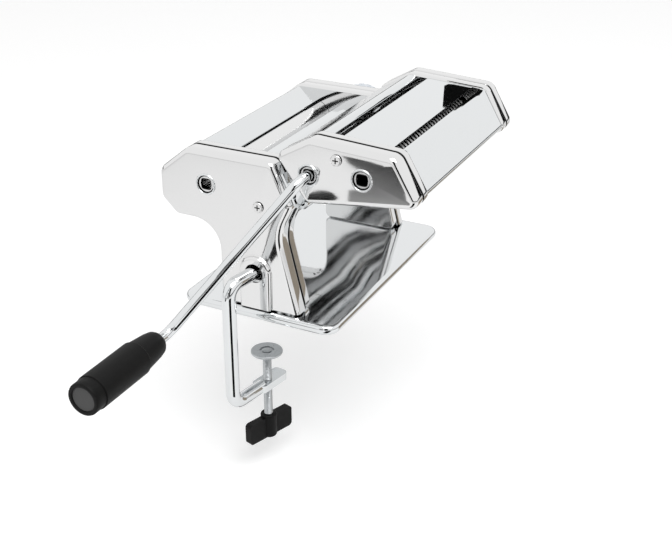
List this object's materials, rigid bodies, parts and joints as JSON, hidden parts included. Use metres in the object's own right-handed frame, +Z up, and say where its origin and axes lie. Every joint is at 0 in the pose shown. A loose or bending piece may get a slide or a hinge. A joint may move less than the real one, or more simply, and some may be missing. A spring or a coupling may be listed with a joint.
{
  "type": "pasta roller machine",
  "caption": "Hand-cranked pasta sheeter on a pressed steel base, with adjustable smooth rollers, a lift-off wide and narrow noodle cutter, a removable crank and a table clamp.",
  "frame": {"origin": "on the table plane, under the middle of the base plate", "axes": "+X along the rollers, from the crank side to the dial side; -Y towards the cutter unit; +Z up"},
  "size_m": [0.3883, 0.2074, 0.2598],
  "materials": {
    "chrome_steel": "mirror chrome plate on pressed and drawn steel",
    "roller_steel": "nickel plate on turned and ground steel",
    "plain_steel": "bright turned and cut steel",
    "zinc_steel": "zinc plate, satin",
    "nylon": "moulded nylon",
    "dial_aluminium": "satin plate",
    "knob_plastic": "moulded, glossy",
    "black_plastic": "moulded, fine satin grain",
    "grey_plastic": "moulded, satin",
    "rubber": "moulded, matt"
  },
  "bodies": {
    "frame": {"base_plate": "chrome_steel", "rubber_feet": "rubber", "crank_side_frame": "chrome_steel", "dial_side_frame": "chrome_steel", "base_fasteners": "plain_steel", "tie_bars": "plain_steel", "tie_nuts": "plain_steel", "drive_roller_bushes": "nylon", "scrapers": "plain_steel", "rear_hood": "chrome_steel", "front_hood": "chrome_steel", "cover_brackets": "plain_steel", "crank_side_cover": "chrome_steel", "dial_side_cover": "chrome_steel", "cover_screws": "plain_steel", "roller_bezel": "chrome_steel", "regulator_bush": "nylon", "dial_plate": "dial_aluminium", "cutter_hooks": "chrome_steel"},
    "drive_roller": {"drive_roller": "roller_steel", "drive_gear": "plain_steel"},
    "carriage": {"crank_side_block": "nylon", "dial_side_block": "nylon", "carriage_bar": "plain_steel"},
    "idle_roller": {"idle_roller": "roller_steel", "idle_gear": "plain_steel"},
    "regulator": {"regulator_spindle": "plain_steel", "regulator_knob": "knob_plastic", "knob_screw": "plain_steel"},
    "cutter": {"cutter_crank_side_frame": "chrome_steel", "cutter_dial_side_frame": "chrome_steel", "cutter_bushes": "nylon", "cutter_tie_rods": "plain_steel", "cutter_tie_nuts": "plain_steel", "cutter_top_cover": "chrome_steel", "cutter_front_panel": "chrome_steel", "cutter_rear_cover": "chrome_steel", "cutter_combs": "plain_steel", "cutter_lugs": "chrome_steel", "cutter_posts": "plain_steel", "cutter_crank_side_cover": "chrome_steel", "cutter_dial_side_cover": "chrome_steel", "cutter_screws": "plain_steel", "cutter_bezels": "chrome_steel"},
    "wide_drive": {"wide_drive_cutter": "roller_steel", "wide_drive_gear": "plain_steel"},
    "wide_idle": {"wide_idle_cutter": "roller_steel", "wide_idle_gear": "plain_steel"},
    "narrow_drive": {"narrow_drive_cutter": "roller_steel", "narrow_drive_gear": "plain_steel"},
    "narrow_idle": {"narrow_idle_cutter": "roller_steel", "narrow_idle_gear": "plain_steel"},
    "crank": {"crank_rod": "chrome_steel", "grip_washer": "plain_steel"},
    "grip": {"crank_grip": "black_plastic", "grip_cap": "grey_plastic"},
    "clamp": {"clamp_arm": "chrome_steel"},
    "clamp_pad": {"clamp_pad": "zinc_steel"},
    "clamp_screw": {"clamp_screw": "zinc_steel", "clamp_wing": "black_plastic"}
  },
  "joints": [
    {"name": "roller_spin", "type": "hinge", "parent": "frame", "child": "drive_roller", "pos_m": [0, 0.0413, 0.1017], "axis": [1, 0, 0], "continuous": true},
    {"name": "regulator_turn", "type": "hinge", "parent": "frame", "child": "regulator", "pos_m": [0.1, 0.01215, 0.1017], "axis": [1, 0, 0], "range_deg": [0, 160]},
    {"name": "carriage_slide", "type": "slide", "parent": "frame", "child": "carriage", "axis": [0, 1, 0], "range_m": [0, 0.0017]},
    {"name": "idle_spin", "type": "hinge", "parent": "carriage", "child": "idle_roller", "pos_m": [0, 0.0113, 0.1017], "axis": [1, 0, 0], "continuous": true},
    {"name": "cutter_lift", "type": "slide", "parent": "frame", "child": "cutter", "axis": [0, 0, 1], "range_m": [0, 0.06]},
    {"name": "wide_spin", "type": "hinge", "parent": "cutter", "child": "wide_drive", "pos_m": [0, -0.0436, 0.1236], "axis": [1, 0, 0], "continuous": true},
    {"name": "wide_idle_spin", "type": "hinge", "parent": "cutter", "child": "wide_idle", "pos_m": [0, -0.0634, 0.1236], "axis": [1, 0, 0], "continuous": true},
    {"name": "narrow_spin", "type": "hinge", "parent": "cutter", "child": "narrow_drive", "pos_m": [0, -0.0846, 0.1269], "axis": [1, 0, 0], "continuous": true},
    {"name": "narrow_idle_spin", "type": "hinge", "parent": "cutter", "child": "narrow_idle", "pos_m": [0, -0.1044, 0.1269], "axis": [1, 0, 0], "continuous": true},
    {"name": "crank_pull", "type": "slide", "parent": "wide_drive", "child": "crank", "axis": [-1, 0, 0], "range_m": [0, 0.04]},
    {"name": "grip_spin", "type": "hinge", "parent": "crank", "child": "grip", "pos_m": [-0.23, 0.03118, 0.01641], "axis": [1, 0, 0], "continuous": true},
    {"name": "clamp_pull", "type": "slide", "parent": "frame", "child": "clamp", "axis": [-0.9854, 0.1702, 0], "range_m": [0, 0.018]},
    {"name": "pad_lift", "type": "slide", "parent": "clamp", "child": "clamp_pad", "axis": [0, 0, 1], "range_m": [-0.018, 0.0245]},
    {"name": "screw_turn", "type": "hinge", "parent": "clamp_pad", "child": "clamp_screw", "pos_m": [-0.08904, -0.00083, -0.06], "axis": [0, 0, 1], "range_deg": [-5184.1, 7056.1]}
  ],
  "couplings": [
    {"joint": "regulator_turn", "follows": "carriage_slide", "rad_per_m": 1642.7},
    {"joint": "idle_spin", "follows": "roller_spin", "ratio": -1},
    {"joint": "wide_idle_spin", "follows": "wide_spin", "ratio": -1},
    {"joint": "narrow_idle_spin", "follows": "narrow_spin", "ratio": -1},
    {"joint": "screw_turn", "follows": "pad_lift", "rad_per_m": 5026.5}
  ]
}
